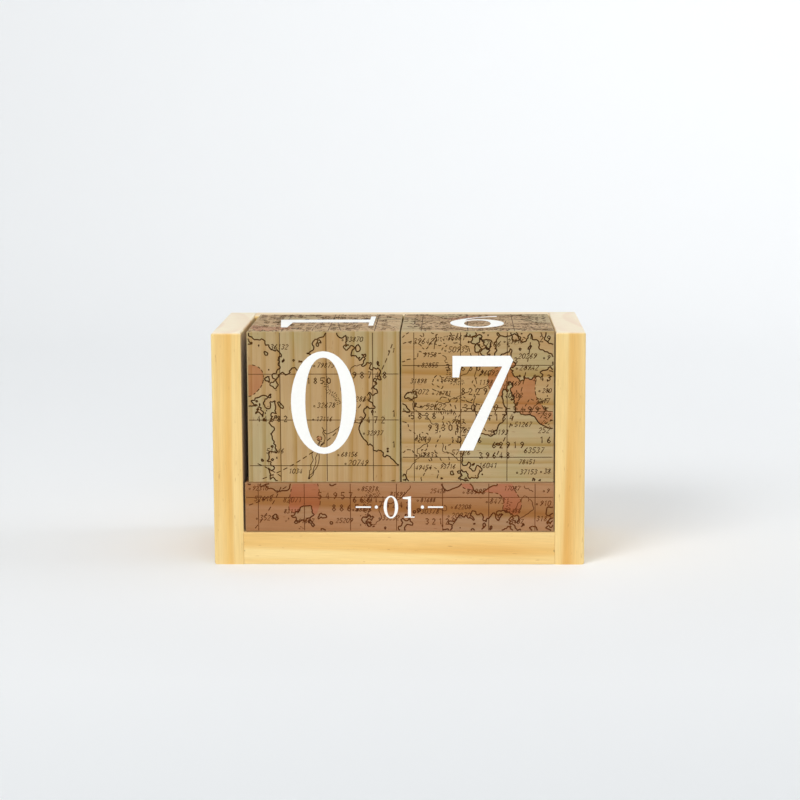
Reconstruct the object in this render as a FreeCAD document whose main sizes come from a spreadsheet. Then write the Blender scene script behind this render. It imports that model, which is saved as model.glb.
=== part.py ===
"""Perpetual block calendar: a pine tray with two day cubes that stand on three month bars.

Millimetres. X runs to the right, Y to the back and Z up. The origin is at the middle of the tray's
footprint, on the surface that it stands on.
"""

import FreeCAD, Part
import os

import Sketcher
from FreeCAD import Placement, Rotation, Vector

# Driving sizes: the alias of the cell, its value in millimetres, and what it measures
SIZES = (
    ("cube_side", 50.0, "side of a day cube"),
    ("cube_left_gap", 1.9, "play between the left cube and the left side board"),
    ("cube_gap", 0.4, "play between the two cubes"),
    ("cube_right_gap", 0.4, "play between the right cube and the right side board"),
    ("cube_proud", 0.5, "height of the cubes above the tray's top edge"),
    ("block_edge_radius", 0.4, "rounding of a cube's and a month bar's edges"),
    ("bar_gap", 0.2, "play between two month bars"),
    ("bar_left_gap", 0.6, "play between a month bar and the left side board"),
    ("bar_right_gap", 0.2, "play between a month bar and the right side board"),
    ("rest_gap", 0.05, "play between a loose block and what it stands on, so that a bar draws out"),
    ("depth_play", 0.6, "play between the blocks and the back board"),
    ("side_thickness", 9.8, "thickness of a side board"),
    ("base_thickness", 11.0, "thickness of the base board"),
    ("back_thickness", 11.0, "thickness of the back board"),
    ("board_edge_radius", 0.8, "rounding of the boards' sanded edges"),
    ("joint_edge_radius", 0.3, "rounding of the edges that run into a joint"),
    ("pin_length", 25.0, "length of a wire pin"),
    ("pin_diameter", 1.4, "diameter of a wire pin's shank"),
    ("pin_head_diameter", 2.2, "diameter of a wire pin's head"),
    ("pin_head_thickness", 0.7, "thickness of a wire pin's head"),
    ("pin_point_length", 2.4, "length of a wire pin's point"),
    ("pin_setback", 0.25, "depth that a pin's head is punched under the surface"),
    ("pin_fit", 0.02, "play round a pin in its hole"),
    ("base_pin_inset", 12.0, "distance from the base board's front and rear to a pin in its end"),
    ("back_pin_inset", 14.0, "distance from the back board's top and the base board to a pin in its edge"),
    ("rear_pin_inset", 25.0, "distance from the back board's ends to a pin through its face"),
)

# The three month bars, from the front to the back: four faces each make twelve months
BARS = ("front_month_bar", "middle_month_bar", "back_month_bar")

# Sizes that follow from the driving ones, as expressions
INNER_WIDTH = "(2 * Sizes.cube_side + Sizes.cube_left_gap + Sizes.cube_gap + Sizes.cube_right_gap)"
INNER_DEPTH = "(Sizes.cube_side + Sizes.depth_play)"
HALF_INNER = f"({INNER_WIDTH} / 2)"
HALF_WIDTH = f"({HALF_INNER} + Sizes.side_thickness)"
DEPTH = f"({INNER_DEPTH} + Sizes.back_thickness)"
FRONT = f"(-{DEPTH} / 2)"
REAR = f"({DEPTH} / 2)"
BAR_SECTION = f"((Sizes.cube_side - {len(BARS) - 1} * Sizes.bar_gap) / {len(BARS)})"
BAR_LENGTH = f"({INNER_WIDTH} - Sizes.bar_left_gap - Sizes.bar_right_gap)"
BAR_FLOOR = "(Sizes.base_thickness + Sizes.rest_gap)"
CUBE_FLOOR = f"({BAR_FLOOR} + {BAR_SECTION} + Sizes.rest_gap)"
TRAY_HEIGHT = f"({CUBE_FLOOR} + Sizes.cube_side - Sizes.cube_proud)"

# The ways that a pin is driven: the turn from +Z, the axis that it runs along, and the sign
INWARD_FROM_LEFT = (Rotation(Vector(0, 1, 0), 90), 0, "+")
FORWARD_FROM_REAR = (Rotation(Vector(1, 0, 0), 90), 1, "-")

doc = FreeCAD.newDocument("block_calendar")


def fill_sheet():
    """Writes the driving sizes to the sheet, one row each."""
    sheet = doc.addObject("Spreadsheet::Sheet", "Sizes")
    for row, (alias, value, note) in enumerate(SIZES, start=1):
        sheet.set(f"A{row}", alias)
        sheet.set(f"B{row}", str(value))
        sheet.set(f"C{row}", note)
        sheet.setAlias(f"B{row}", alias)
    doc.recompute()


def place(obj, at, rotation=None):
    """Puts an object at three expressions, turned as told."""
    if rotation is not None:
        obj.Placement = Placement(Vector(), rotation)
    for axis, expression in zip("xyz", at):
        obj.setExpression(f"Placement.Base.{axis}", expression)


def block(name, width, depth, height, at):
    """A body with one padded rectangle: its lower left front corner is at the three expressions."""
    body = doc.addObject("PartDesign::Body", name)
    sketch = body.newObject("Sketcher::SketchObject", f"{name}_outline")
    ground = next(plane for plane in body.Origin.OriginFeatures if plane.Role == "XY_Plane")
    sketch.AttachmentSupport = [(ground, "")]
    sketch.MapMode = "FlatFace"
    corners = [Vector(), Vector(1, 0, 0), Vector(1, 1, 0), Vector(0, 1, 0)]
    for start, end in zip(corners, corners[1:] + corners[:1]):
        sketch.addGeometry(Part.LineSegment(start, end))
    for line in range(4):
        sketch.addConstraint(Sketcher.Constraint("Coincident", line, 2, (line + 1) % 4, 1))
    for line, direction in enumerate(("Horizontal", "Vertical", "Horizontal", "Vertical")):
        sketch.addConstraint(Sketcher.Constraint(direction, line))
    sketch.addConstraint(Sketcher.Constraint("Coincident", 0, 1, -1, 1))
    across = sketch.addConstraint(Sketcher.Constraint("DistanceX", 0, 1, 0, 2, 1))
    along = sketch.addConstraint(Sketcher.Constraint("DistanceY", 1, 1, 1, 2, 1))
    sketch.setExpression(f"Constraints[{across}]", width)
    sketch.setExpression(f"Constraints[{along}]", depth)
    pad = body.newObject("PartDesign::Pad", f"{name}_pad")
    pad.Profile = sketch
    pad.setExpression("Length", height)
    place(body, at)
    doc.recompute()
    return body


def ease(body, radius, wanted):
    """Rounds the edges of a body's last feature for which wanted(middle, box) is true."""
    base = body.Tip
    box = base.Shape.BoundBox
    names = [
        f"Edge{number}"
        for number, edge in enumerate(base.Shape.Edges, start=1)
        if wanted(edge.CenterOfMass, box)
    ]
    fillet = body.newObject("PartDesign::Fillet", f"{body.Name}_{radius.rpartition('.')[2]}")
    fillet.Base = (base, names)
    fillet.setExpression("Radius", radius)
    doc.recompute()


def at_limit(value, limit):
    """True if a coordinate lies on a face of the box."""
    return abs(value - limit) < Part.Precision.confusion()


def pin_solid(name, start, drive, drill=False):
    """A wire pin driven from a point of the surface, or the hole that is drilled for it."""
    rotation, axis, sign = drive
    play = "Sizes.pin_fit" if drill else "0"
    head_start = "0" if drill else "Sizes.pin_setback"
    head_end = "(Sizes.pin_setback + Sizes.pin_head_thickness)"
    point_start = "(Sizes.pin_setback + Sizes.pin_length - Sizes.pin_point_length)"

    def along(offset):
        at = list(start)
        at[axis] = f"{start[axis]} {sign} {offset}"
        return at

    head = doc.addObject("Part::Cylinder", f"{name}_head")
    head.setExpression("Radius", f"Sizes.pin_head_diameter / 2 + {play}")
    head.setExpression("Height", f"{head_end} - {head_start}")
    place(head, along(head_start), rotation)
    shank = doc.addObject("Part::Cylinder", f"{name}_shank")
    shank.setExpression("Radius", f"Sizes.pin_diameter / 2 + {play}")
    shank.setExpression("Height", f"{point_start} - {head_end}")
    place(shank, along(head_end), rotation)
    point = doc.addObject("Part::Cone", f"{name}_point")
    point.setExpression("Radius1", f"Sizes.pin_diameter / 2 + {play}")
    point.Radius2 = 0
    point.setExpression("Height", f"Sizes.pin_point_length + {play}")
    place(point, along(point_start), rotation)
    pin = doc.addObject("Part::MultiFuse", name)
    pin.Shapes = [head, shank, point]
    return pin


def pin_row(name, starts, drive, drill=False):
    """The pins that are driven the same way, or their holes, as one group of separate solids."""
    row = doc.addObject("Part::Compound", name)
    row.Links = [
        pin_solid(f"{name}_{number}", start, drive, drill)
        for number, start in enumerate(starts, start=1)
    ]
    return row


def mirrored(name, source):
    """The right-hand twin of a left-hand piece."""
    twin = doc.addObject("Part::Mirroring", name)
    twin.Source = source
    twin.Normal = Vector(1, 0, 0)
    return twin


def drilled(name, board, *holes):
    """A board with the pins' holes cut out of it."""
    piece = board
    for number, hole in enumerate(holes, start=1):
        cut = doc.addObject("Part::Cut", name if number == len(holes) else f"{name}_cut_{number}")
        cut.Base = piece
        cut.Tool = hole
        piece = cut
    return piece


def side_board():
    """The left side board, with its outer and top edges sanded round."""
    body = block(
        "left_side_board",
        "Sizes.side_thickness",
        DEPTH,
        TRAY_HEIGHT,
        (f"-{HALF_WIDTH}", FRONT, "0"),
    )

    def outer_or_top(middle, box):
        return at_limit(middle.x, box.XMin) or at_limit(middle.z, box.ZMax)

    def inner_upright(middle, box):
        at_end = at_limit(middle.y, box.YMin) or at_limit(middle.y, box.YMax)
        return at_end and at_limit(middle.x, box.XMax)

    ease(body, "Sizes.board_edge_radius", outer_or_top)
    ease(body, "Sizes.joint_edge_radius", inner_upright)
    return body


def base_board():
    """The base board between the side boards, in front of the back board."""
    body = block(
        "base_board_blank",
        INNER_WIDTH,
        INNER_DEPTH,
        "Sizes.base_thickness",
        (f"-{HALF_INNER}", FRONT, "0"),
    )

    def front_top(middle, box):
        return at_limit(middle.y, box.YMin) and at_limit(middle.z, box.ZMax)

    def front_bottom(middle, box):
        return at_limit(middle.y, box.YMin) and at_limit(middle.z, box.ZMin)

    ease(body, "Sizes.board_edge_radius", front_top)
    ease(body, "Sizes.joint_edge_radius", front_bottom)
    return body


def back_board():
    """The back board between the side boards, as high as they are."""
    body = block(
        "back_board_blank",
        INNER_WIDTH,
        "Sizes.back_thickness",
        TRAY_HEIGHT,
        (f"-{HALF_INNER}", f"{FRONT} + {INNER_DEPTH}", "0"),
    )

    def long_top(middle, box):
        on_face = at_limit(middle.y, box.YMin) or at_limit(middle.y, box.YMax)
        return on_face and at_limit(middle.z, box.ZMax)

    ease(body, "Sizes.board_edge_radius", long_top)
    return body


def loose_block(name, width, depth, height, at):
    """A day cube or a month bar: a sawn block with all its edges rounded alike."""
    body = block(name, width, depth, height, at)
    ease(body, "Sizes.block_edge_radius", lambda middle, box: True)
    return body


def tray():
    """The four boards and the pins that hold their butt joints."""
    base_middle = "Sizes.base_thickness / 2"
    back_middle = f"{REAR} - Sizes.back_thickness / 2"
    side_starts = [
        (f"-{HALF_WIDTH}", f"{FRONT} + Sizes.base_pin_inset", base_middle),
        (f"-{HALF_WIDTH}", f"{FRONT} + {INNER_DEPTH} - Sizes.base_pin_inset", base_middle),
        (f"-{HALF_WIDTH}", back_middle, "Sizes.base_thickness + Sizes.back_pin_inset"),
        (f"-{HALF_WIDTH}", back_middle, f"{TRAY_HEIGHT} - Sizes.back_pin_inset"),
    ]
    rear_starts = [
        (f"-{HALF_INNER} + Sizes.rear_pin_inset", REAR, base_middle),
        ("0", REAR, base_middle),
        (f"{HALF_INNER} - Sizes.rear_pin_inset", REAR, base_middle),
    ]
    left_pins = pin_row("left_side_pins", side_starts, INWARD_FROM_LEFT)
    left_holes = pin_row("left_holes", side_starts, INWARD_FROM_LEFT, drill=True)
    right_holes = mirrored("right_holes", left_holes)
    rear_pins = pin_row("back_board_pins", rear_starts, FORWARD_FROM_REAR)
    rear_holes = pin_row("rear_holes", rear_starts, FORWARD_FROM_REAR, drill=True)

    left_panel = drilled("left_side_panel", side_board(), left_holes)
    return [
        left_panel,
        mirrored("right_side_panel", left_panel),
        drilled("base_board", base_board(), left_holes, right_holes, rear_holes),
        drilled("back_board", back_board(), left_holes, right_holes, rear_holes),
        left_pins,
        mirrored("right_side_pins", left_pins),
        rear_pins,
    ]


def month_bars():
    """The month bars, side by side under the cubes, flush with the tray's front."""
    return [
        loose_block(
            name,
            BAR_LENGTH,
            BAR_SECTION,
            BAR_SECTION,
            (
                f"-{HALF_INNER} + Sizes.bar_left_gap",
                f"{FRONT} + {number} * ({BAR_SECTION} + Sizes.bar_gap)",
                BAR_FLOOR,
            ),
        )
        for number, name in enumerate(BARS)
    ]


def day_cubes():
    """The two day cubes, on the month bars."""
    side = "Sizes.cube_side"
    left = f"-{HALF_INNER} + Sizes.cube_left_gap"
    right = f"{HALF_INNER} - Sizes.cube_right_gap - {side}"
    return [
        loose_block("left_day_cube", side, side, side, (left, FRONT, CUBE_FLOOR)),
        loose_block("right_day_cube", side, side, side, (right, FRONT, CUBE_FLOOR)),
    ]


def check_and_write(pieces):
    """Stops if a feature or a piece failed, and otherwise writes each piece to its own file."""
    doc.recompute()
    for obj in doc.Objects:
        if "Invalid" in obj.State or "Error" in obj.State:
            raise RuntimeError(f"{obj.Name} failed: {obj.State}")
    os.makedirs("parts", exist_ok=True)
    for piece in pieces:
        piece.Label = piece.Name
        shape = piece.Shape
        if shape.isNull() or not shape.isValid() or not shape.Solids:
            raise RuntimeError(f"{piece.Label} has no valid solid")
        shape.exportStep(f"parts/{piece.Label}.step")
        box = shape.BoundBox
        print(
            f"{piece.Label}: {len(shape.Solids)} solid, {shape.Volume:.1f} mm3,"
            f" x {box.XMin:.2f} to {box.XMax:.2f}, y {box.YMin:.2f} to {box.YMax:.2f},"
            f" z {box.ZMin:.2f} to {box.ZMax:.2f}"
        )


fill_sheet()
check_and_write(tray() + month_bars() + day_cubes())
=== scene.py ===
"""The looks of a pine block calendar: a tray, two number cubes and three month bars with a chart print."""

import math
import random

import bpy
from mathutils import Matrix, Vector, noise


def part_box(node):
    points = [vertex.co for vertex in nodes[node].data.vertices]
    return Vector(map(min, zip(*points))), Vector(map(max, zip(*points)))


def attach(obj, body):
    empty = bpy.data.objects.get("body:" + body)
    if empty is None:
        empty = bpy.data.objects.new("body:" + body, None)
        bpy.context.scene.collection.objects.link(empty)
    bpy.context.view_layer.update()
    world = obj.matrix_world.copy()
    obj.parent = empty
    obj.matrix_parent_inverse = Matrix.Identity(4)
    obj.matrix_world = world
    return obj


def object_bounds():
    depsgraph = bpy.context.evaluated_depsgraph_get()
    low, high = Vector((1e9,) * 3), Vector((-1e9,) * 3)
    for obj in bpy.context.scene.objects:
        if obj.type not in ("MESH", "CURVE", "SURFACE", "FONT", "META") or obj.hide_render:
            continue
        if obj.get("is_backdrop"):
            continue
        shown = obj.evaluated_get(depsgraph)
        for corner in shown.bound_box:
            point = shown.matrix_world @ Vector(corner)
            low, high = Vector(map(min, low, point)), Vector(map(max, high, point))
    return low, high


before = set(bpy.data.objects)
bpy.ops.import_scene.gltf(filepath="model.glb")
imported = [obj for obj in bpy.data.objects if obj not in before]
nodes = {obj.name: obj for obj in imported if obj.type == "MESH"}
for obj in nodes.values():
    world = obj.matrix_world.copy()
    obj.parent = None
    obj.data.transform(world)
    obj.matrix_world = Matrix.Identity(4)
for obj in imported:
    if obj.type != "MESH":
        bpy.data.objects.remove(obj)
cad_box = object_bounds()
bpy.ops.object.select_all(action="DESELECT")


# The view: the photograph was taken from about 0.7 m, a little from the right and from above.
# The camera's place and angles were fitted to the corners of the tray and of the cubes.
MM = 0.001
VIEW_PLACE_MM = (18.45, -715.8, 159.4)
VIEW_TURN = math.radians(1.494)
VIEW_DOWN = math.radians(8.662)
VIEW_ROLL = math.radians(-0.293)
VIEW_FOCAL_PX = 2119.6
PICTURE_PX = 800
NEAREST_SEEN = 0.01

bpy.ops.object.camera_add()
camera = bpy.context.object
camera.name = "camera"
camera.data.lens = VIEW_FOCAL_PX * camera.data.sensor_width / PICTURE_PX
camera.data.clip_start = NEAREST_SEEN
camera.matrix_world = (
    Matrix.Translation(Vector(VIEW_PLACE_MM) * MM)
    @ Matrix.Rotation(VIEW_TURN, 4, "Z")
    @ Matrix.Rotation(math.radians(90) - VIEW_DOWN, 4, "X")
    @ Matrix.Rotation(VIEW_ROLL, 4, "Z")
)
bpy.context.scene.camera = camera
bpy.context.scene.view_settings.view_transform = "Standard"


# The studio: a sheet of white paper that runs over the table and up behind the calendar. A large
# soft lamp stands at the front left, and weaker ones in front, at the right, above, towards the
# backdrop and close over the tray's foot. The pale room lights the rest.
PAPER, PAPER_CLOUD, PAPER_FORE_SHADE = "f8f9fa", "f5f6f8", "ebedef"
PAPER_WIDTH = 2.8
PAPER_FRONT, PAPER_BEND, PAPER_RISE = -1.7, 0.55, 1.95
SWEEP_RADIUS, SWEEP_STEPS = 0.45, 24
CLOUDS_PER_METRE = 1.5
# The paper's front grey is painted shade, which begins at the first of these places in y and is full at the
# second
FORE_SHADE_FROM, FORE_SHADE_FULL = -0.17, -0.3
ROOM, ROOM_LIGHT = "f1f4f4", 0.48
# Each lamp's name, place and aim, the side of its square, its power in W and its spread in degrees
LAMPS = (
    ("front_left_lamp", (-0.75, -1.15, 1.05), (0, 0, 0.04), 0.7, 11.4, 180),
    ("front_lamp", (0.35, -1.6, 0.4), (0, 0, 0.04), 0.5, 2.9, 180),
    ("right_lamp", (1.15, 0.1, 0.55), (0, 0, 0.04), 0.5, 3.0, 180),
    ("top_lamp", (0.05, -0.1, 0.6), (0, 0, 0.04), 0.3, 0.35, 180),
    ("backdrop_lamp", (0.7, 0.2, 1.2), (0.15, 1.0, 0.4), 0.5, 1.65, 100),
    ("foot_lamp", (0.0, -0.1, 0.3), (0, -0.045, 0), 0.1, 0.0055, 30),
)


def paint(hex_code):
    """An sRGB hex colour as the linear colour that a node takes."""
    shares = [int(hex_code[i:i + 2], 16) / 255 for i in (0, 2, 4)]
    return tuple(v / 12.92 if v <= 0.04045 else ((v + 0.055) / 1.055) ** 2.4 for v in shares) + (1.0,)


def add(tree, kind, inputs=(), stops=(), **settings):
    """Adds a node to a tree. Each input is a value, a socket, or a node whose first output it takes.
    The settings are the node's own, and the stops of a colour ramp each have a place and a hex
    colour or a grey."""
    node = tree.nodes.new("ShaderNode" + kind)
    for name, value in settings.items():
        setattr(node, name, value)
    for name, value in dict(inputs).items():
        if isinstance(value, bpy.types.Node):
            value = value.outputs[0]
        if isinstance(value, bpy.types.NodeSocket):
            tree.links.new(value, node.inputs[name])
        else:
            node.inputs[name].default_value = value
    if stops:
        elements = node.color_ramp.elements
        while len(elements) < len(stops):
            elements.new(0.5)
        for element, (where, colour) in zip(elements, stops):
            element.position = where
            element.color = paint(colour) if isinstance(colour, str) else (colour, colour, colour, 1.0)
    return node


def new_finish(name):
    """An empty material and its tree."""
    finish = bpy.data.materials.new(name)
    finish.use_nodes = True
    finish.node_tree.nodes.clear()
    return finish, finish.node_tree


def studio_paper():
    """Matt white background paper, a little uneven in tone, and greyed towards its front by painted shade.
    """
    finish, tree = new_finish("studio_paper")
    place = add(tree, "TexCoord").outputs["Object"]
    cloud = add(tree, "TexNoise", {"Vector": place, "Scale": CLOUDS_PER_METRE, "Detail": 1.0})
    tone = add(tree, "MixRGB", {"Fac": cloud, "Color1": paint(PAPER), "Color2": paint(PAPER_CLOUD)})
    depth = add(tree, "SeparateXYZ", {"Vector": place}).outputs["Y"]
    # Painted shade: the paper greys towards its front, in place of the lamps' light falling off there
    near = add(tree, "MapRange", {"Value": depth, "From Min": FORE_SHADE_FROM, "From Max": FORE_SHADE_FULL})
    shade = add(tree, "MixRGB", {"Fac": near, "Color1": tone, "Color2": paint(PAPER_FORE_SHADE)})
    face = add(tree, "BsdfDiffuse", {"Color": shade})
    add(tree, "OutputMaterial", {"Surface": face})
    return finish


bpy.ops.mesh.primitive_plane_add(size=1)
paper = bpy.context.object
paper.name = "studio_sheet"
paper.location = (0, (PAPER_FRONT + PAPER_BEND) / 2, 0)
paper.scale = (PAPER_WIDTH, PAPER_BEND - PAPER_FRONT, 1)
bpy.ops.object.transform_apply(location=True, rotation=True, scale=True)
bpy.context.tool_settings.mesh_select_mode = (False, True, False)
bpy.ops.object.mode_set(mode="EDIT")
bpy.ops.mesh.select_all(action="DESELECT")
bpy.ops.object.mode_set(mode="OBJECT")
for edge in paper.data.edges:
    edge.select = all(abs(paper.data.vertices[end].co.y - PAPER_BEND) < MM for end in edge.vertices)
bpy.ops.object.mode_set(mode="EDIT")
bpy.ops.mesh.spin(
    steps=SWEEP_STEPS, angle=math.radians(-90), center=(0, PAPER_BEND, SWEEP_RADIUS), axis=(1, 0, 0),
)
bpy.ops.mesh.extrude_region_move(TRANSFORM_OT_translate={"value": (0, 0, PAPER_RISE)})
bpy.ops.mesh.select_all(action="SELECT")
bpy.ops.mesh.remove_doubles(threshold=0.1 * MM)
bpy.ops.object.mode_set(mode="OBJECT")
bpy.ops.object.shade_smooth()
paper.data.materials.append(studio_paper())
paper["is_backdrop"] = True

for name, place, target, size, power, spread in LAMPS:
    bpy.ops.object.light_add(type="AREA", location=place)
    lamp = bpy.context.object
    lamp.name = name
    lamp.data.size = size
    lamp.data.energy = power
    lamp.data.spread = math.radians(spread)
    lamp.rotation_euler = (Vector(target) - Vector(place)).to_track_quat("-Z", "Y").to_euler()

world = bpy.data.worlds.new("pale_room")
bpy.context.scene.world = world
world.use_nodes = True
air = world.node_tree
air.nodes.clear()
seen = add(air, "LightPath").outputs["Is Camera Ray"]
light = add(air, "MapRange", {"Value": seen, "To Min": ROOM_LIGHT, "To Max": 1.0})
room = add(air, "Background", {"Color": paint(ROOM), "Strength": light})
add(air, "OutputWorld", {"Surface": room})


# The tray: four boards of knot-free pine, planed, glued and pinned, with their edges sanded round.
# The grain stands upright in the sides and lies level in the base and the back. Nothing is painted
# or oiled, so the wood is pale straw with amber bands of late wood.
PINE_PALE, PINE_AMBER, PINE_DARK = "fae1a1", "ebb652", "b5793a"
# The cream of a painted highlight on what looks up, and the dark brown of painted shade in the joints' chips
# and gaps
PINE_TOP_HIGHLIGHT, PINE_JOINT_SHADE = "fffbf0", "8a6a38"
CLEAR, STREAK, FIBRE, TONE = "ffffff", "f0dcb4", "d9d2c6", "f8e6c6"
# Sizes of the wood's patterns in mm, across and along the grain. Real fibres and resin canals are
# finer, and are drawn as coarse as they need to be to show.
BEND_MM, WANDER_MM, TONE_MM, INK_MM = (30, 140), (5, 70), (22, 60), (9, 9)
STREAK_MM, PRINTED_STREAK_MM = (2.8, 60), (1.6, 60)
FIBRE_MM, CANAL_MM, JOINT_SHADE_MM = (0.28, 9), (0.5, 3.4), (1.3, 3.0)
FIBRE_DEPTH_MM = 0.03
# The flecks of painted shade at a joint begin this far within a board's end, and are full at the second
# measure
JOINT_SHADE_FROM_MM, JOINT_SHADE_FULL_MM = 0.55, 0.2
# How dark the wood is through a year: rings closer than FINE_RINGS_MM have the narrow late wood
FINE_RINGS_MM = 6.0
BROAD_LATE = ((0.0, 0.05), (0.3, 0.05), (0.6, 0.5), (0.84, 1.0), (0.92, 0.9), (1.0, 0.05))
NARROW_LATE = ((0.0, 0.05), (0.6, 0.05), (0.82, 0.7), (0.92, 1.0), (0.97, 0.1), (1.0, 0.05))
# Each board's own values, among them how far a painted highlight pales its faces that look up
SIDE_SWAY_MM, SIDE_TOP_HIGHLIGHT = 5.0, 0.5
BASE_RINGS_MM, BASE_AMBER, BASE_TOP_HIGHLIGHT, BASE_LEAN = 15.0, "eebf69", 0.1, 1.6
BACK_TOP_HIGHLIGHT = 0.25


def pine(
    name, grain, log, spacing=9.0, sway=9.0, tint=None, amber=PINE_AMBER, dust=0.0, lean=0.0, end_mm=None,
):
    """Sanded bare pine, dull and dry: soft amber growth rings round a pith that lies off the piece,
    faint streaks and fibres and a few short resin canals along the grain, and a fuzz that pales it
    where it is seen at a slant. A tint is a print's ink over it, and a painted highlight pales what
    looks up.
    grain is the axis that the fibres follow, log the place in the trunk in mm, spacing the rings'
    distance and sway how far they stray, both in mm, and lean the angle in degrees at which the
    fibres of a level board fall towards its right end. end_mm is where a board's sawn ends are,
    close to which small flecks of painted shade stand for the shade in the joint's chips and gaps."""
    finish, tree = new_finish(name)
    turn = {"Z": (0, 0, 0), "X": (0, math.radians(-90 - lean), 0)}[grain]
    surface = add(tree, "TexCoord").outputs
    inside = add(tree, "Mapping", {
        "Vector": surface["Object"], "Rotation": turn, "Scale": (1 / MM,) * 3, "Location": log,
    })

    def stretched(size_mm, detail=1.0):
        """Noise whose features have a size across and along the grain."""
        across, along = size_mm
        squeeze = (1 / across, 1 / across, 1 / along)
        squeezed = add(tree, "VectorMath", {0: inside, 1: squeeze}, operation="MULTIPLY")
        return add(tree, "TexNoise", {"Vector": squeezed, "Scale": 1.0, "Detail": detail})

    # Growth rings: the distance from the pith, made uneven, in steps of one year
    flat = add(tree, "VectorMath", {0: inside, 1: (1, 1, 0)}, operation="MULTIPLY")
    radius = add(tree, "VectorMath", {0: flat}, operation="LENGTH").outputs["Value"]
    bent = add(tree, "Math", {0: stretched(BEND_MM), 1: sway, 2: radius}, operation="MULTIPLY_ADD")
    uneven = add(tree, "Math", {
        0: stretched(WANDER_MM, 2.0), 1: sway * 0.25, 2: bent,
    }, operation="MULTIPLY_ADD")
    years = add(tree, "Math", {0: uneven, 1: spacing}, operation="DIVIDE")
    year = add(tree, "Math", {0: years}, operation="FLOOR")
    weight = add(tree, "TexWhiteNoise", {"W": year}, noise_dimensions="1D")
    strength = add(tree, "Math", {0: weight, 1: 0.6, 2: 0.4}, operation="MULTIPLY_ADD")
    season = add(tree, "Math", {0: years}, operation="FRACT")
    late = add(tree, "ValToRGB", {"Fac": season}, NARROW_LATE if spacing < FINE_RINGS_MM else BROAD_LATE)
    share = add(tree, "Math", {0: late, 1: strength}, operation="MULTIPLY")
    wood = add(tree, "MixRGB", {"Fac": share, "Color1": paint(PINE_PALE), "Color2": paint(amber)})

    # Streaks, fibres, resin canals, and the slow change of tone along a board
    streak = stretched(PRINTED_STREAK_MM if tint else STREAK_MM, 2.0)
    shade = add(tree, "ValToRGB", {"Fac": streak}, ((0.35, STREAK), (0.6, CLEAR)))
    wood = add(tree, "MixRGB", {"Fac": 0.4, "Color1": wood, "Color2": shade}, blend_type="MULTIPLY")
    fibre = stretched(FIBRE_MM, 3.0)
    shade = add(tree, "ValToRGB", {"Fac": fibre}, ((0.3, FIBRE), (0.7, CLEAR)))
    wood = add(tree, "MixRGB", {"Fac": 0.3, "Color1": wood, "Color2": shade}, blend_type="MULTIPLY")
    canal = add(tree, "ValToRGB", {"Fac": stretched(CANAL_MM)}, ((0.735, 0.0), (0.79, 0.55)))
    wood = add(tree, "MixRGB", {"Fac": canal, "Color1": wood, "Color2": paint(PINE_DARK)})
    shade = add(tree, "ValToRGB", {"Fac": stretched(TONE_MM)}, ((0.3, CLEAR), (0.7, TONE)))
    wood = add(tree, "MixRGB", {"Fac": 0.5, "Color1": wood, "Color2": shade}, blend_type="MULTIPLY")

    # Painted shade in the chips and gaps at a board's ends, the ink of a print, and a painted highlight on
    # what looks up
    # Painted shade: dark flecks close to a board's ends stand for the shade in the small chips and gaps of
    # its joints
    if end_mm:
        x = add(tree, "SeparateXYZ", {"Vector": surface["Object"]}).outputs["X"]
        along = add(tree, "Math", {0: x}, operation="ABSOLUTE")
        near_end = add(tree, "MapRange", {
            "Value": along, "From Min": (end_mm - JOINT_SHADE_FROM_MM) * MM,
            "From Max": (end_mm - JOINT_SHADE_FULL_MM) * MM, "To Max": 0.7,
        })
        joint_shade = add(tree, "ValToRGB", {"Fac": stretched(JOINT_SHADE_MM)}, ((0.54, 0.0), (0.61, 1.0)))
        share = add(tree, "Math", {0: near_end, 1: joint_shade}, operation="MULTIPLY")
        wood = add(tree, "MixRGB", {"Fac": share, "Color1": wood, "Color2": paint(PINE_JOINT_SHADE)})
    if tint:
        tones = ((0.35, tint[0]), (0.65, tint[1]))
        cover = add(tree, "ValToRGB", {"Fac": stretched(INK_MM, 2.0)}, tones)
        wood = add(tree, "MixRGB", {"Fac": 1.0, "Color1": wood, "Color2": cover}, blend_type="MULTIPLY")
    # A painted highlight: faces that look up are paled towards cream, in place of the strong light that
    # falls on them from above
    if dust:
        upward = add(tree, "SeparateXYZ", {"Vector": surface["Normal"]}).outputs["Z"]
        top_lit = add(tree, "ValToRGB", {"Fac": upward}, ((0.4, 0.0), (0.95, dust)))
        wood = add(tree, "MixRGB", {"Fac": top_lit, "Color1": wood, "Color2": paint(PINE_TOP_HIGHLIGHT)})

    relief = add(tree, "Bump", {"Height": fibre, "Strength": 0.3, "Distance": FIBRE_DEPTH_MM * MM})
    dull = add(tree, "Math", {0: fibre, 1: 0.2, 2: 0.6 if tint else 0.42}, operation="MULTIPLY_ADD")
    face = add(tree, "BsdfPrincipled", {
        "Base Color": wood, "Roughness": dull, "Normal": relief, "IOR": 1.5,
        "Specular IOR Level": 0.25 if tint else 0.5,
        "Sheen Weight": 0.04 if tint else 0.16, "Sheen Roughness": 0.4,
    })
    add(tree, "OutputMaterial", {"Surface": face})
    return finish


def finish_node(node, finish):
    """Gives a CAD piece its finish."""
    data = nodes[node].data
    data.materials.clear()
    data.materials.append(finish)


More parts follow.
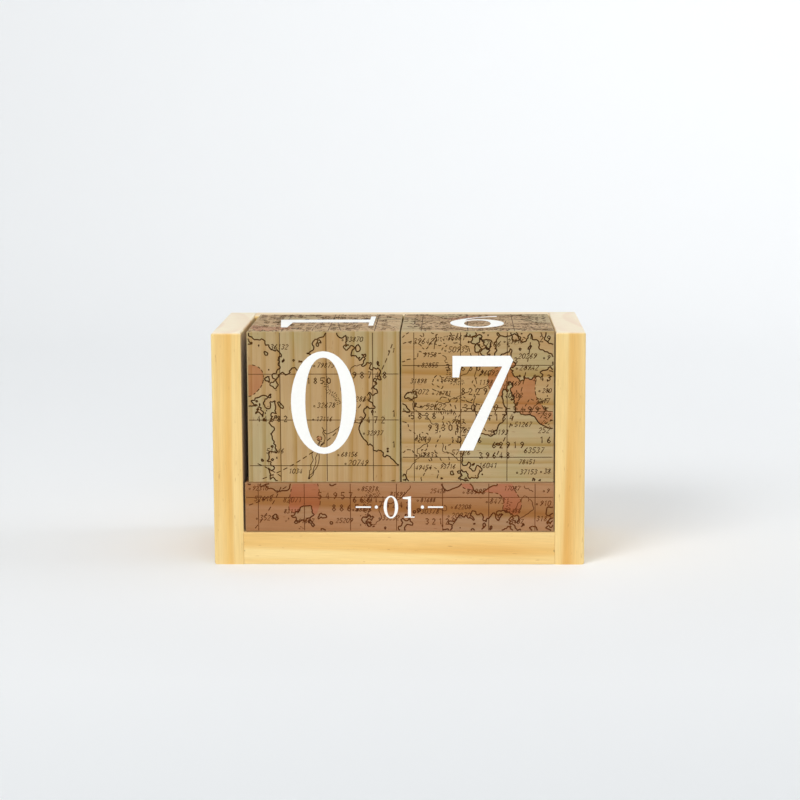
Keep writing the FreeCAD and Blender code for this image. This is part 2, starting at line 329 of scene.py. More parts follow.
for node, name, log in (
    ("left_side_panel", "pine_left_side", (136.8, 6.0, 20.0)),
    ("right_side_panel", "pine_right_side", (-152.0, -9.0, 160.0)),
):
    finish_node(node, pine(name, "Z", log, sway=SIDE_SWAY_MM, dust=SIDE_TOP_HIGHLIGHT))
base_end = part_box("base_board")[1].x
finish_node("base_board", pine(
    "pine_base", "X", (87.3, 14.0, 300.0), BASE_RINGS_MM, amber=BASE_AMBER, dust=BASE_TOP_HIGHLIGHT,
    lean=BASE_LEAN, end_mm=base_end / MM,
))
finish_node("back_board", pine("pine_back", "X", (25.0, 120.0, 500.0), dust=BACK_TOP_HIGHLIGHT))


# The wire pins: fine steel wire pins, driven through the sides and the back and punched just under
# the surface, so only the small round heads show.
STEEL_DARK, STEEL_BRIGHT = "8f8e8c", "bdbcb9"
# The marks that drawing leaves are finer, and are drawn as coarse as they need to be to show
STEEL_MARK_MM = 0.4


def drawn_steel():
    """Bare drawn steel wire, grey and a little dulled."""
    finish, tree = new_finish("drawn_steel")
    place = add(tree, "TexCoord").outputs["Object"]
    mark = add(tree, "TexNoise", {"Vector": place, "Scale": 1 / (STEEL_MARK_MM * MM), "Detail": 2.0})
    tone = add(tree, "MixRGB", {"Fac": mark, "Color1": paint(STEEL_DARK), "Color2": paint(STEEL_BRIGHT)})
    face = add(tree, "BsdfPrincipled", {"Base Color": tone, "Metallic": 1.0, "Roughness": 0.42})
    add(tree, "OutputMaterial", {"Surface": face})
    return finish


steel = drawn_steel()
for pins in ("left_side_pins", "right_side_pins", "back_board_pins"):
    finish_node(pins, steel)


# The print on the loose blocks: a chart in thin inks that let the pine's grain through, with a
# grey-green sea, tan land, salmon provinces and dark brown lines. Each face is an invented map of
# its own, grown from a seed, and its only figures are plain soundings and heights.
INK_WEAR_MM = 3.85
# How far each ink stands proud of the wood, and how wide each kind of line is
WASH_PROUD_MM, PROVINCE_PROUD_MM, LINE_RISE_MM, LINE_PROUD_MM = 0.012, 0.022, 0.02, 0.04
COAST_MM, RIVER_MM, BORDER_MM, GRID_MM, TICK_MM, FIGURE_MM = 0.42, 0.24, 0.3, 0.22, 0.22, 0.27
# The land's height is taken this far apart, a little wider on the faces that don't show at rest
CHART_STEP_MM, UNSEEN_STEP_MM = 0.45, 0.6
# The land's forms: the size of each, how high it lifts the land, and how rough it is
COARSE_MM, RUGGED_MM, BAY_MM, PROVINCE_MM, COUNTY_MM = 16.0, 12.0, 2.1, 22.0, 10.0
BROAD_LIFT, BAY_LIFT, BORDER_LIFT = 0.55, 0.34, 0.03
ROUGHNESS, FINER, SEED_APART = 0.8, 2.1, 7.31
# What a face of density 1 holds, and the density from which the counties' borders show too
RIVERS, RANGES, ROUTES, CROWDED = 7, 2, 2, 2
# How the lines are stepped out: their strides and points, and how much they wander in radians
MARGIN_MM = 0.3
DASH_POINTS, DASH_PITCH = 4, 5
RIVER_STRIDE_MM, RIVER_POINTS, RIVER_APART_MM, RIVER_WANDER = 0.7, 60, 1.4, 0.75
RANGE_STRIDE_MM, RANGE_GAP_MM, RANGE_WANDER = 0.62, 0.16, 0.28
ROUTE_STRIDE_MM, ROUTE_LEAD_MM, ROUTE_DASHES, ROUTE_BEND = 0.5, 30, 26, 0.02
GRID_SPACING_MM = 15.2
# The figures: the area that each number takes, its least distance to the next, and its height
FIGURE_AREA_MM2, FIGURE_WIDE_MM, FIGURE_HIGH_MM, FIGURE_TRIES = 95, 7.5, 2.9, 12
LARGE_SHARE, LARGE_TALL_MM, SMALL_TALL_MM = 0.3, (1.9, 2.2), (1.35, 1.85)
DOTTED_SHARE, DOT_MM, DOT_CORNERS = 0.5, 0.25, 7
SMALL_FIGURES = {
    "0": ((0, .2), (0, .8), (.25, 1), (.5, .8), (.5, .2), (.25, 0), (0, .2)),
    "1": ((.1, .8), (.3, 1), (.3, 0)),
    "2": ((0, .8), (.25, 1), (.5, .75), (0, 0), (.5, 0)),
    "3": ((0, .9), (.25, 1), (.5, .8), (.2, .55), (.5, .3), (.25, 0), (0, .1)),
    "4": ((.35, 0), (.35, 1), (0, .3), (.5, .3)),
    "5": ((.5, 1), (.05, 1), (0, .55), (.3, .6), (.5, .3), (.25, 0), (0, .1)),
    "6": ((.4, 1), (.05, .5), (0, .2), (.25, 0), (.5, .25), (.25, .5), (0, .3)),
    "7": ((0, 1), (.5, 1), (.15, 0)),
    "8": ((.25, .55), (.05, .8), (.25, 1), (.45, .8), (.25, .55), (0, .25), (.25, 0), (.5, .25), (.25, .55)),
    "9": ((.1, 0), (.45, .5), (.5, .8), (.25, 1), (0, .75), (.25, .5), (.5, .7)),
}


class Chart:
    """An invented chart for one face: the land's height, the provinces, and the lines to draw.
    hills raise or sink the land: each is a place in shares of the face, a reach and a lift. density
    is how crowded the face is, bare how much land lies outside the provinces, coarse the size in mm
    of the land's broad forms, and step how far apart in mm its height is taken."""

    def __init__(self, width, height, seed, hills, density, bare, coarse=COARSE_MM, step=CHART_STEP_MM):
        self.width, self.height, self.seed, self.hills = width, height, seed, hills
        self.coarse, self.bare = coarse, bare
        self.dice = random.Random(seed)
        self.xs, self.ys = self.places(width, step), self.places(height, step)
        coasts, self.land = self.contours(self.ground)
        marches, self.provinces = self.contours(self.province)
        self.lines = [(line, COAST_MM) for line in coasts]
        self.borders(marches)
        if density >= CROWDED:
            self.borders(self.contours(self.county)[0])
        self.rivers(round(RIVERS * density))
        self.ranges(round(RANGES * density))
        self.routes(ROUTES)
        self.graticule()
        self.figures(density)

    @staticmethod
    def places(length, step):
        """Even places from one edge of the face to the other."""
        count = round(length / step)
        return [length * (place / count - 0.5) for place in range(count + 1)]

    def slope_noise(self, x, y, size, salt, octaves):
        """Smooth noise of a feature size in mm, about -1 to 1. Each salt gives its own."""
        at = Vector((x / size, y / size, self.seed * SEED_APART + salt))
        return noise.fractal(at, ROUGHNESS, FINER, octaves)

    def broad(self, x, y):
        """The lie of the land without its small bays: positive on land."""
        rise = self.slope_noise(x, y, self.coarse, 0.0, 2) * BROAD_LIFT
        for share_x, share_y, reach, lift in self.hills:
            far_x, far_y = x / self.width + 0.5 - share_x, y / self.height + 0.5 - share_y
            rise += lift * math.exp(-(far_x * far_x + far_y * far_y) / (reach * reach))
        return rise

    def ground(self, x, y):
        """The land's height with bays, fjords and islets where the coast is rugged."""
        rugged = min(1.0, max(0.12, 0.5 + 1.3 * self.slope_noise(x, y, RUGGED_MM, 3.0, 1)))
        return self.broad(x, y) + BAY_LIFT * rugged * self.slope_noise(x, y, BAY_MM, 9.0, 3)

    def province(self, x, y):
        """Positive in the salmon provinces, which lie on land and end at the coast."""
        return min(self.ground(x, y), self.slope_noise(x, y, PROVINCE_MM, 21.0, 2) - self.bare)

    def county(self, x, y):
        """Changes sign along the land's inner borders."""
        return self.slope_noise(x, y, COUNTY_MM, 33.0, 3)

    def contours(self, height_at):
        """The lines along which a height changes sign: as they are, and as loops round the high
        ground that close along the edge of the face."""
        last_i, last_j = len(self.xs) - 1, len(self.ys) - 1
        heights = {(i, j): height_at(x, y) for j, y in enumerate(self.ys) for i, x in enumerate(self.xs)}
        lines = self.march(heights)
        for i, j in heights:
            if i in (0, last_i) or j in (0, last_j):
                heights[i, j] = min(heights[i, j], -1e-6)
        return lines, [loop[:-1] for loop in self.march(heights)]

    def march(self, heights):
        """Finds where a height changes sign along the edges of each cell, and links those places."""
        points, links = {}, {}
        for j in range(len(self.ys) - 1):
            for i in range(len(self.xs) - 1):
                ring = ((i, j), (i + 1, j), (i + 1, j + 1), (i, j + 1))
                if len({heights[corner] > 0 for corner in ring}) == 1:
                    continue
                crossings = []
                for edge in zip(ring, ring[1:] + ring[:1]):
                    start, end = sorted(edge)
                    if (heights[start] > 0) != (heights[end] > 0):
                        share = heights[start] / (heights[start] - heights[end])
                        points[start, end] = (
                            self.xs[start[0]] + share * (self.xs[end[0]] - self.xs[start[0]]),
                            self.ys[start[1]] + share * (self.ys[end[1]] - self.ys[start[1]]),
                        )
                        crossings.append((start, end))
                for first, second in zip(crossings[::2], crossings[1::2]):
                    links.setdefault(first, []).append(second)
                    links.setdefault(second, []).append(first)
        return self.chains(links, points)

    @staticmethod
    def chains(links, points):
        """Joins the crossings into lines, open ones first."""
        lines, used = [], set()
        for start in sorted(links, key=lambda key: (len(links[key]), key)):
            if start in used:
                continue
            line, here = [], start
            while here is not None:
                used.add(here)
                line.append(points[here])
                here = next((key for key in links[here] if key not in used), None)
            if len(links[start]) > 1 and len(line) > 2:
                line.append(line[0])
            if len(line) > 3:
                lines.append(line)
        return lines

    @staticmethod
    def ahead(x, y, heading, length):
        """The place at a length in mm along a heading."""
        return x + length * math.cos(heading), y + length * math.sin(heading)

    def inside(self, x, y, margin=MARGIN_MM):
        """Whether a place lies on the face, with a margin to its edges."""
        return abs(x) < self.width / 2 - margin and abs(y) < self.height / 2 - margin

    def anywhere(self, margin=1.0):
        """A random place on the face."""
        return (
            self.dice.uniform(margin - self.width / 2, self.width / 2 - margin),
            self.dice.uniform(margin - self.height / 2, self.height / 2 - margin),
        )

    def high_place(self, tries):
        """The highest of a few random places."""
        return max((self.anywhere() for _ in range(tries)), key=lambda at: self.broad(*at))

    def borders(self, lines):
        """Dashes along the inner borders, on land only."""
        for line in lines:
            for start in range(0, len(line) - DASH_POINTS + 1, DASH_PITCH):
                dash = line[start:start + DASH_POINTS]
                if all(self.ground(x, y) > BORDER_LIFT for x, y in dash):
                    self.lines.append((dash, BORDER_MM))

    def rivers(self, count):
        """Rivers run down from high ground, winding, until they meet the sea or themselves."""
        stride = RIVER_STRIDE_MM
        for _ in range(count):
            x, y = self.high_place(6)
            heading = self.dice.uniform(0, math.tau)
            line = [(x, y)]
            while len(line) < RIVER_POINTS and self.inside(x, y, stride) and self.ground(x, y) > 0:
                fall_x = self.broad(x - stride, y) - self.broad(x + stride, y)
                fall_y = self.broad(x, y - stride) - self.broad(x, y + stride)
                down = math.atan2(fall_y, fall_x) + self.dice.gauss(0, RIVER_WANDER)
                heading += 0.5 * math.remainder(down - heading, math.tau)
                x, y = self.ahead(x, y, heading, stride)
                if any(math.dist((x, y), place) < RIVER_APART_MM for place in line[:-3]):
                    break
                line.append((x, y))
            if len(line) > 6:
                self.lines.append((line, RIVER_MM))

    def ranges(self, count):
        """Mountain ranges: a row of short strokes down both flanks of a winding ridge."""
        for _ in range(count):
            x, y = self.high_place(5)
            heading = self.dice.uniform(0, math.tau)
            for _ in range(self.dice.randint(9, 22)):
                heading += self.dice.gauss(0, RANGE_WANDER)
                x, y = self.ahead(x, y, heading, RANGE_STRIDE_MM)
                for side in (-1, 1):
                    length = self.dice.uniform(0.5, 1.0)
                    lean = heading + side * (math.pi / 2 + self.dice.gauss(0, 0.15))
                    near = self.ahead(x, y, lean, RANGE_GAP_MM)
                    far = self.ahead(x, y, lean, length)
                    if self.inside(*far) and self.inside(*near) and self.ground(*far) > 0:
                        self.lines.append(((near, far), TICK_MM))

    def graticule(self):
        """The chart's straight grid, from edge to edge."""
        for upright, reach, limit in ((True, self.width, self.height), (False, self.height, self.width)):
            at = self.dice.uniform(0.2, 0.8) * GRID_SPACING_MM - reach / 2
            while at < reach / 2:
                ends = ((at, -limit / 2), (at, limit / 2))
                if not upright:
                    ends = tuple((b, a) for a, b in ends)
                self.lines.append((ends, GRID_MM))
                at += GRID_SPACING_MM

    def routes(self, count):
        """Long dashed curves from edge to edge."""
        for _ in range(count):
            x, y = self.anywhere()
            heading = self.dice.uniform(0, math.tau)
            x, y = self.ahead(x, y, heading, -ROUTE_LEAD_MM)
            bend = self.dice.uniform(-ROUTE_BEND, ROUTE_BEND)
            for _ in range(ROUTE_DASHES):
                dash = []
                for _ in range(DASH_POINTS):
                    dash.append((x, y))
                    heading += bend
                    x, y = self.ahead(x, y, heading, ROUTE_STRIDE_MM)
                if all(self.inside(a, b) for a, b in dash):
                    self.lines.append((dash, BORDER_MM))
                x, y = self.ahead(x, y, heading, ROUTE_STRIDE_MM)

    def figures(self, density):
        """Soundings and heights in small slanted figures, some beside a dot, and larger upright
        numbers spaced out across a country or a sea."""
        count = round(self.width * self.height / FIGURE_AREA_MM2 * density)
        taken = []
        for _ in range(count * FIGURE_TRIES):
            x, y = self.anywhere(2.0)
            close = any(abs(x - a) < FIGURE_WIDE_MM and abs(y - b) < FIGURE_HIGH_MM for a, b in taken)
            if close or len(taken) >= count:
                continue
            taken.append((x, y))
            large = self.dice.random() < LARGE_SHARE
            tall = self.dice.uniform(*(LARGE_TALL_MM if large else SMALL_TALL_MM))
            self.number(str(self.dice.randint(200, 99999)), x, y, tall, large)
            if not large and self.dice.random() < DOTTED_SHARE:
                turns = [math.tau * n / DOT_CORNERS for n in range(DOT_CORNERS + 1)]
                dot = [self.ahead(x - 0.9, y + 0.5, turn, DOT_MM) for turn in turns]
                self.lines.append((dot, TICK_MM))

    def number(self, text, x, y, tall, large):
        """Figures in thin strokes, from their lower left corner: a large number stands upright,
        spaced out and a little bolder, and a small one slants."""
        pitch, slant, width = (1.15, 0.0, 1.3 * FIGURE_MM) if large else (0.74, 0.28, FIGURE_MM)
        for place, figure in enumerate(text):
            start = x + place * pitch * tall
            stroke = [
                (start + tall * (across + slant * up), y + tall * up)
                for across, up in SMALL_FIGURES[figure]
            ]
            if all(self.inside(a, b) for a, b in stroke):
                self.lines.append((stroke, width))


def face_frame(node, out, up):
    """The place of a face: x runs to the right and y up on it, and z out of the block."""
    low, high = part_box(node)
    out, up = Vector(out), Vector(up)
    right = up.cross(out)
    middle = (low + high) / 2
    middle += Vector(side * (b - a) / 2 for side, a, b in zip(out, low, high))
    turned = Matrix((right, up, out)).transposed().to_4x4()
    return Matrix.Translation(middle) @ turned @ Matrix.Scale(MM, 4)


def join_pieces(name, parts, finish, body):
    """Joins the parts of one ink into a piece that rides on a body."""
    bpy.ops.object.select_all(action="DESELECT")
    for part in parts:
        part.select_set(True)
    bpy.context.view_layer.objects.active = parts[0]
    if len(parts) > 1:
        bpy.ops.object.join()
    piece = bpy.context.object
    piece.name = name
    piece.data.materials.clear()
    piece.data.materials.append(finish)
    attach(piece, body)


def meshed(name, curve, place):
    """Turns a curve into a mesh at its place on the block."""
    bpy.ops.object.select_all(action="DESELECT")
    ink = bpy.data.objects.new(name, curve)
    bpy.context.collection.objects.link(ink)
    ink.select_set(True)
    bpy.context.view_layer.objects.active = ink
    bpy.ops.object.convert(target="MESH")
    ink = bpy.context.object
    ink.matrix_world = place
    bpy.ops.object.transform_apply(location=True, rotation=True, scale=True)
    return ink


def filled(loops, place, proud):
    """An area of ink within its outlines, proud of the face: corners only, or knots with handles."""
    curve = bpy.data.curves.new("area", "CURVE")
    curve.dimensions = "2D"
    curve.fill_mode = "BOTH"
    curve.extrude = proud
    curve.resolution_u = 10
    for loop in loops:
        if all(len(knot) == 2 for knot in loop):
            outline = curve.splines.new("POLY")
            outline.use_cyclic_u = True
            outline.points.add(len(loop) - 1)
            for knot, (x, y) in zip(outline.points, loop):
                knot.co = (x, y, 0.0, 1.0)
            continue
        outline = curve.splines.new("BEZIER")
        outline.use_cyclic_u = True
        outline.bezier_points.add(len(loop) - 1)
        for knot, (x, y, *handles) in zip(outline.bezier_points, loop):
            before = after = (0.0, 0.0)
            if len(handles) == 2:
                before, after = (-handles[0], -handles[1]), handles
            if len(handles) == 4:
                before, after = handles[:2], handles[2:]
            knot.handle_left_type = knot.handle_right_type = "FREE"
            knot.co = (x, y, 0.0)
            knot.handle_left = (x + before[0], y + before[1], 0.0)
            knot.handle_right = (x + after[0], y + after[1], 0.0)
    area = meshed("area", curve, place)
    bpy.ops.object.mode_set(mode="EDIT")
    bpy.ops.mesh.select_all(action="SELECT")
    bpy.ops.mesh.remove_doubles(threshold=0.0005 * MM)
    bpy.ops.mesh.normals_make_consistent(inside=False)
    bpy.ops.object.mode_set(mode="OBJECT")
    return area


def drawn(lines, place):
    """Lines of ink, each a flat ridge of its own width along its points."""
    curve = bpy.data.curves.new("line_work", "CURVE")
    curve.dimensions = "3D"
    curve.twist_mode = "Z_UP"
    curve.bevel_depth = 0.5
    curve.bevel_resolution = 0
    curve.use_fill_caps = True
    for points, width in lines:
        stroke = curve.splines.new("POLY")
        stroke.points.add(len(points) - 1)
        for knot, (x, y) in zip(stroke.points, points):
            knot.co = (x, y, 0.0, 1.0)
            knot.radius = width
    widest = max(width for _, width in lines)
    rise = Matrix.Translation((0, 0, LINE_RISE_MM))
    flatten = Matrix.Diagonal((1, 1, 2 * LINE_PROUD_MM / widest, 1))
    return meshed("line_work", curve, place @ rise @ flatten)


def brown_ink(name, dark, worn):
    """Dark brown printing ink on bare wood: matt, thin, and worn paler in places."""
    finish, tree = new_finish(name)
    place = add(tree, "TexCoord").outputs["Object"]
    wear = add(tree, "TexNoise", {"Vector": place, "Scale": 1 / (INK_WEAR_MM * MM), "Detail": 3.0})
    share = add(tree, "MapRange", {"Value": wear, "From Min": 0.42, "From Max": 0.68})
    tone = add(tree, "MixRGB", {"Fac": share, "Color1": paint(dark), "Color2": paint(worn)})
    face = add(tree, "BsdfPrincipled", {"Base Color": tone, "Roughness": 0.65, "Specular IOR Level": 0.08})
    add(tree, "OutputMaterial", {"Surface": face})
    return finish


# The white numerals: one opaque coat of white ink over the chart, in upright serifed figures with
# thick stems and thin joints. Each is drawn once as an outline in mm, from the middle of its foot:
# a knot is a corner (x, y), a smooth point with its handle, or a point with a handle in and out.
NUMERAL_TALL_MM, NUMERAL_PROUD_MM = 34.0, 0.07
WHITE, WHITE_THIN, WHITE_SPECK_MM = "fcfcf9", "f7f6f2", 1.11
NUMERALS = {
    "0": (
        ((0, 34, 6.1, 0), (10.7, 17, 0, -9.4), (0, 0, -6.1, 0), (-10.7, 17, 0, 9.4)),
        ((0, 31.9, -3.7, 0), (-6, 17, 0, -9.2), (0, 2.1, 3.7, 0), (6, 17, 0, 9.2)),
    ),
    "1": (
        ((-5, 1.2), (9.8, 1.2), (9.8, 2.8), (4.6, 2.8), (4.6, 33.3), (-7.6, 31.6), (-7.6, 29.5), (.2, 28.7),
         (.2, 2.8), (-5, 2.8)),
    ),
    "2": (
        ((-9.8, 0), (9.4, 0), (10.2, 8), (8.5, 8), (7.2, 4.9, .6, 1.6, -.5, -1), (5.2, 4, 1.2, 0, 0, 0),
         (-4.4, 4), (9, 24.8, 0, -7.6, 0, 5.4), (-.3, 33.8, 5.6, 0, -5.4, 0), (-9.2, 27, 0, 3.9, 0, -1.9),
         (-6.9, 24.8, -1.5, 0, 1.3, 0), (-4.9, 27.2, -.5, -1.6, .9, 3), (-.9, 31.7, -2.4, 0, 3.4, 0),
         (4.2, 24.6, 0, 4.4, 0, -6.4), (-9.8, 2.4, 6, 7.4, 0, 0)),
    ),
    "3": (
        ((-9.4, 5, 0, -2.7, 0, 1.6), (-7.2, 7.3, -1.3, 0, 1.4, 0), (-5.2, 5.2, -.5, 1.4, .9, -2.2),
         (-1, 2, -2.3, 0, 3.7, 0), (4.9, 9.4, 0, -4.6, 0, 4.6), (-1.6, 16.4, 4.1, 0, 0, 0), (-4.2, 16.4),
         (-4.2, 18.4), (-2, 18.4, 0, 0, 3.7, 0), (3.9, 25.3, 0, -4.2, 0, 4.2), (-1, 31.7, 3, 0, -2.1, 0),
         (-4.8, 28.9, .7, 2, -.5, -1.5), (-6.8, 27, 1.3, 0, -1.3, 0), (-8.8, 28.9, 0, -1.4, 0, 2.4),
         (-.4, 33.8, -4.6, 0, 5.4, 0), (8.8, 26.3, 0, 4.5, 0, -3.6), (2.9, 18, 3.7, 1.5, 4.4, -.9),
         (9.9, 9.6, 0, 4.5, 0, -5.6), (-.9, -.1, 6.3, 0, -4.8, 0)),
    ),
    "4": (
        ((2, 1), (6.6, 1), (6.6, 9.4), (10.8, 9.4), (10.8, 12.4), (6.6, 12.4), (6.6, 33.2), (3.4, 33.2),
         (-10.8, 12), (-10.8, 9.4), (2, 9.4)),
        ((2, 12.4), (-7.2, 12.4), (2, 26.8)),
    ),
    "5": (
        ((-9.2, 5, 0, -2.7, 0, 1.6), (-7, 7.2, -1.3, 0, 1.4, 0), (-5, 5.1, -.5, 1.4, .9, -2.2),
         (-.8, 2, -2.3, 0, 3.9, 0), (5.2, 10.6, 0, -5.2, 0, 5), (-1, 18.2, 3.9, 0, -2.5, 0),
         (-5.6, 16.4, 1.4, 1.1, 0, 0), (-7.2, 17.3), (-6, 33.4), (8.2, 33.4), (8.2, 29.6), (-3.6, 29.6),
         (-4.5, 19.2, 0, 0, 1.8, .8), (.6, 20.2, -1.7, 0, 5.7, 0), (10.2, 10.9, 0, 5.6, 0, -6.4),
         (-.9, -.1, 6.4, 0, -4.8, 0)),
    ),
    "6": (
        ((6.8, 34.2), (7.2, 31.9, 0, 0, -6.2, -.9), (-4, 20.6, .8, 6, 0, 0), (.6, 23.8, -2.8, 0, 5, 0),
         (9, 12.1, 0, 6.8, 0, -7.1), (.2, -.1, 5.2, 0, -5.6, 0), (-9, 14.4, 0, -8.6, 0, 12.2)),
        ((0, 21.5, -3, 0), (-4.3, 12, 0, -5.2), (.3, 2.1, 2.8, 0), (4.6, 11.8, 0, 5.6)),
    ),
    "7": (
        ((-8.2, 32.4), (10.6, 32.4), (11.6, 31), (-1.4, 1.1), (-6, 1.1), (8, 28.9), (-5.4, 28.9),
         (-6.1, 25.3), (-8.2, 25.3)),
    ),
    "8": (
        ((0, 33.9, 5.2, 0), (8.7, 26.3, 0, 4.3, 0, -3.5), (3.4, 18.3, 2.9, 2.3, 4, -2),
         (10.1, 9.2, 0, 4.4, 0, -5.4), (0, -.1, 5.8, 0, -5.8, 0), (-10.1, 9, 0, -5.4, 0, 4.2),
         (-4.2, 17.2, -3.6, -2.2, -2.9, 1.9), (-8.7, 25.7, 0, -4, 0, 4.6)),
        ((.1, 31.9, -2.9, 0), (-4.4, 26.6, 0, 3.2, 0, -3.6), (1.6, 19.6, -3.6, 2.2, 2, 1.6),
         (4.5, 26.2, 0, -2.9, 0, 3.4)),
        ((-2.3, 15.9, -2, -1.5, 3.4, -2), (5.5, 8.3, 0, 3.6, 0, -3.8), (.2, 1.9, 3.2, 0, -3.3, 0),
         (-5.5, 9, 0, -4, 0, 3.4)),
    ),
}
NUMERALS["9"] = tuple(
    tuple((-knot[0], NUMERAL_TALL_MM - knot[1]) + tuple(-handle for handle in knot[2:]) for knot in loop)
    for loop in NUMERALS["6"]
)


def white_ink():
    """Opaque white printing ink, faintly warm, dull, and a touch uneven over the grain."""
    finish, tree = new_finish("white_numeral_ink")
    place = add(tree, "TexCoord").outputs["Object"]
    cover = add(tree, "TexNoise", {"Vector": place, "Scale": 1 / (WHITE_SPECK_MM * MM), "Detail": 2.0})
    tone = add(tree, "MixRGB", {"Fac": cover, "Color1": paint(WHITE), "Color2": paint(WHITE_THIN)})
    relief = add(tree, "Bump", {"Height": cover, "Strength": 0.2, "Distance": 0.02 * MM})
    face = add(tree, "BsdfPrincipled", {"Base Color": tone, "Roughness": 0.5, "Normal": relief})
    add(tree, "OutputMaterial", {"Surface": face})
    return finish


white = white_ink()


# The day cubes: 50 mm pine cubes with eased edges, each face printed with a chart and a white
# numeral. They stand loose on the month bars and are lifted out to be turned to another face.
FRONT, BACK, LEFT, RIGHT, TOP, BOTTOM = (0, -1, 0), (0, 1, 0), (-1, 0, 0), (1, 0, 0), (0, 0, 1), (0, 0, -1)
# The print stops this far from a block's edges, which are eased
EDGE_MM = 0.42
CUBE_TINTS = {"sea": ("b7b9c2", "bdb9c4"), "land": ("c1b6b9", "beb1b4"), "province": ("b48c85", "b9968e")}
# The last of these is how far a painted highlight pales the cubes' faces that look up
CUBE_INK, CUBE_AMBER, CUBE_SWAY_MM, CUBE_TOP_HIGHLIGHT = ("3c2006", "583710"), "dcb455", 6.0, 0.05
# A face's values after its seed: hills, density, bare land, and its numeral's breadth and rise
INLAND = ((0.3, 0.3, 0.5, 0.3),)
PLAIN = (INLAND, 1.0, 0.33, 1.0, 1.5)
# Each cube's node, grain, place in the log and ring spacing, and its faces: numeral, out and up
CUBES = {
    "left_cube": ("left_day_cube", "Z", (140.0, 60.0, 0.0), 4.4, (
        ("0", FRONT, TOP, 61, ((0.5, 0.45, 0.38, 0.7), (0.0, 0.3, 0.22, -0.5), (1.0, 0.6, 0.3, -0.7)),
         0.7, 0.25, 1.0, 1.5),
        ("1", TOP, LEFT, 12, INLAND, 3.2, 0.33, 1.8, 0.0),
        ("2", RIGHT, TOP, 13, *PLAIN),
        ("3", BACK, TOP, 14, *PLAIN),
        ("4", LEFT, TOP, 15, *PLAIN),
        ("5", BOTTOM, FRONT, 16, *PLAIN),
    )),
    "right_cube": ("right_day_cube", "X", (80.0, 60.0, 80.0), 4.8, (
        ("7", FRONT, TOP, 66, ((0.3, 0.6, 0.5, 0.5), (0.85, 0.1, 0.3, -0.6), (0.95, 0.6, 0.15, 0.5)),
         2.1, 0.42, 1.0, 1.5),
        ("6", TOP, BACK, 22, INLAND, 3.2, 0.33, 1.0, 1.5),
        ("8", RIGHT, TOP, 23, *PLAIN),
        ("1", BACK, TOP, 24, *PLAIN),
        ("2", LEFT, TOP, 25, *PLAIN),
        ("0", BOTTOM, FRONT, 26, *PLAIN),
    )),
}


def printed_pine(body, node, tints, grain, log, **wood):
    """Finishes a block's pine in its sea's tint, and gives the finishes of its land and provinces."""
    finish_node(node, pine("printed_pine_" + body, grain, log, tint=tints["sea"], **wood))
    return [
        pine(f"{ink}_wash_{body}", grain, log, tint=tints[ink], **wood)
        for ink in ("land", "province")
    ]


def print_block(body, charts, figures, washes, ink):
    """Prints a block: the washes and lines of its charts and its white figures, as four pieces."""
    land = [filled(chart.land, place, WASH_PROUD_MM) for chart, place in charts if chart.land]
    province = [
        filled(chart.provinces, place, PROVINCE_PROUD_MM)
        for chart, place in charts if chart.provinces
    ]
    lines = [drawn(chart.lines, place) for chart, place in charts]
    join_pieces(body + "_land_wash", land, washes[0], body)
    join_pieces(body + "_province_wash", province, washes[1], body)
    join_pieces(body + "_chart_lines", lines, ink, body)
    join_pieces(body + "_numerals", figures, white, body)


cube_ink = brown_ink("brown_chart_ink_cube", *CUBE_INK)
for body, (node, grain, log, rings, faces) in CUBES.items():
    washes = printed_pine(
        body, node, CUBE_TINTS, grain, log,
        spacing=rings, sway=CUBE_SWAY_MM, amber=CUBE_AMBER, dust=CUBE_TOP_HIGHLIGHT,
    )
    low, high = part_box(node)
    flat = (high.x - low.x) / MM - 2 * EDGE_MM
    charts, figures = [], []
    for numeral, out, up, seed, hills, density, bare, breadth, rise in faces:
        place = face_frame(node, out, up)
        step = CHART_STEP_MM if out in (FRONT, TOP) else UNSEEN_STEP_MM
        charts.append((Chart(flat, flat, seed, hills, density, bare, step=step), place))
        foot = Matrix.Translation((0, rise - NUMERAL_TALL_MM / 2, 0)) @ Matrix.Diagonal((breadth, 1, 1, 1))
        figures.append(filled(NUMERALS[numeral], place @ foot, NUMERAL_PROUD_MM))
    print_block(body, charts, figures, washes, cube_ink)


# The month bars: three square pine bars under the cubes, printed in a redder ink. Each long face
# has the number of a month between two short rules, and the bars are drawn out of the tray's front
# to be turned or changed. Only one face of the front bar shows.
BARS = (
    ("front_bar", "front_month_bar"), ("middle_bar", "middle_month_bar"), ("back_bar", "back_month_bar"),
)
ROLL = ((FRONT, TOP), (TOP, BACK), (BACK, BOTTOM), (BOTTOM, FRONT))
BAR_TINTS = {"sea": ("ad98a3", "ad979f"), "land": ("b2969c", "b09297"), "province": ("b3808b", "b38489")}
BAR_INK, BAR_AMBER = ("56280a", "6e3a12"), "e1b65a"
BAR_RINGS_MM, BAR_SWAY_MM, BAR_LEAN = 13.0, 5.0, 3.0
BAR_LOG_MM, BAR_LOG_APART_MM = (52.4, 40.0, 200.0), 60.0
BAR_SEED, BAR_HILLS = 83, ((0.2, 0.7, 0.3, 0.35), (0.75, 0.6, 0.3, 0.35))
BAR_DENSITY, BAR_BARE, BAR_COARSE_MM = 1.9, 0.42, 12.0
MONTH_TALL_MM, MONTH_PITCH_MM = 7.6, 5.6
MONTH_DOT_AT_MM, MONTH_DOT_MM, MONTH_DOT_CORNERS = 7.6, 0.55, 16
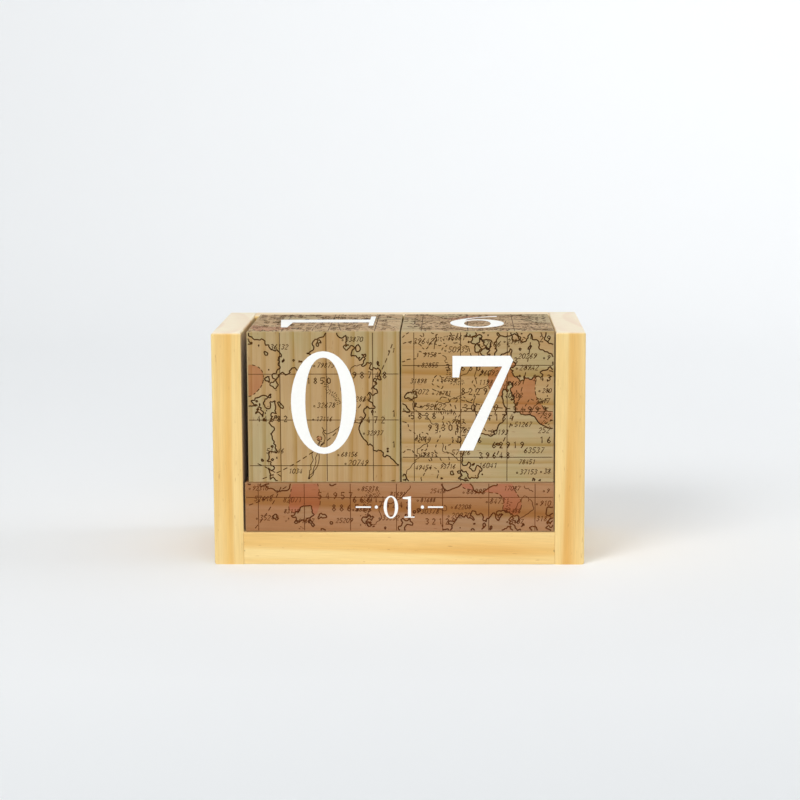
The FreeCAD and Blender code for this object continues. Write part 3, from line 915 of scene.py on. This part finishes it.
RULE_FROM_MM, RULE_TO_MM, RULE_HALF_MM = 9.4, 14.4, 0.25


def rule_and_dot(side, place):
    """A short rule with a dot, in white ink, beside the number of a month."""
    turns = [math.tau * n / MONTH_DOT_CORNERS for n in range(MONTH_DOT_CORNERS)]
    dot = [Chart.ahead(side * MONTH_DOT_AT_MM, 0, turn, MONTH_DOT_MM) for turn in turns]
    corners = ((RULE_FROM_MM, -1), (RULE_TO_MM, -1), (RULE_TO_MM, 1), (RULE_FROM_MM, 1))
    rule = [(side * x, y * RULE_HALF_MM) for x, y in corners]
    return [filled([shape], place, NUMERAL_PROUD_MM) for shape in (dot, rule)]


bar_ink = brown_ink("brown_chart_ink_bar", *BAR_INK)
for number, (body, node) in enumerate(BARS):
    log = Vector(BAR_LOG_MM) + Vector((0, BAR_LOG_APART_MM * number, 0))
    washes = printed_pine(
        body, node, BAR_TINTS, "X", log,
        spacing=BAR_RINGS_MM, sway=BAR_SWAY_MM, amber=BAR_AMBER, lean=BAR_LEAN,
    )
    low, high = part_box(node)
    long, tall = ((high[axis] - low[axis]) / MM - 2 * EDGE_MM for axis in (0, 2))
    scale = MONTH_TALL_MM / NUMERAL_TALL_MM
    charts, figures = [], []
    for face, (out, up) in enumerate(ROLL):
        month = 1 + 4 * number + face
        place = face_frame(node, out, up)
        step = CHART_STEP_MM if month == 1 else UNSEEN_STEP_MM
        chart = Chart(long, tall, BAR_SEED + month, BAR_HILLS, BAR_DENSITY, BAR_BARE, BAR_COARSE_MM, step)
        charts.append((chart, place))
        for column, figure in enumerate(f"{month:02d}"):
            foot = Matrix.Translation(((column - 0.5) * MONTH_PITCH_MM, -MONTH_TALL_MM / 2, 0))
            foot @= Matrix.Diagonal((scale, scale, 1, 1))
            figures.append(filled(NUMERALS[figure], place @ foot, NUMERAL_PROUD_MM))
        figures += rule_and_dot(1, place) + rule_and_dot(-1, place)
    print_block(body, charts, figures, washes, bar_ink)


size = {"cad": [list(corner) for corner in cad_box], "visual": [list(corner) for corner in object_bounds()]}
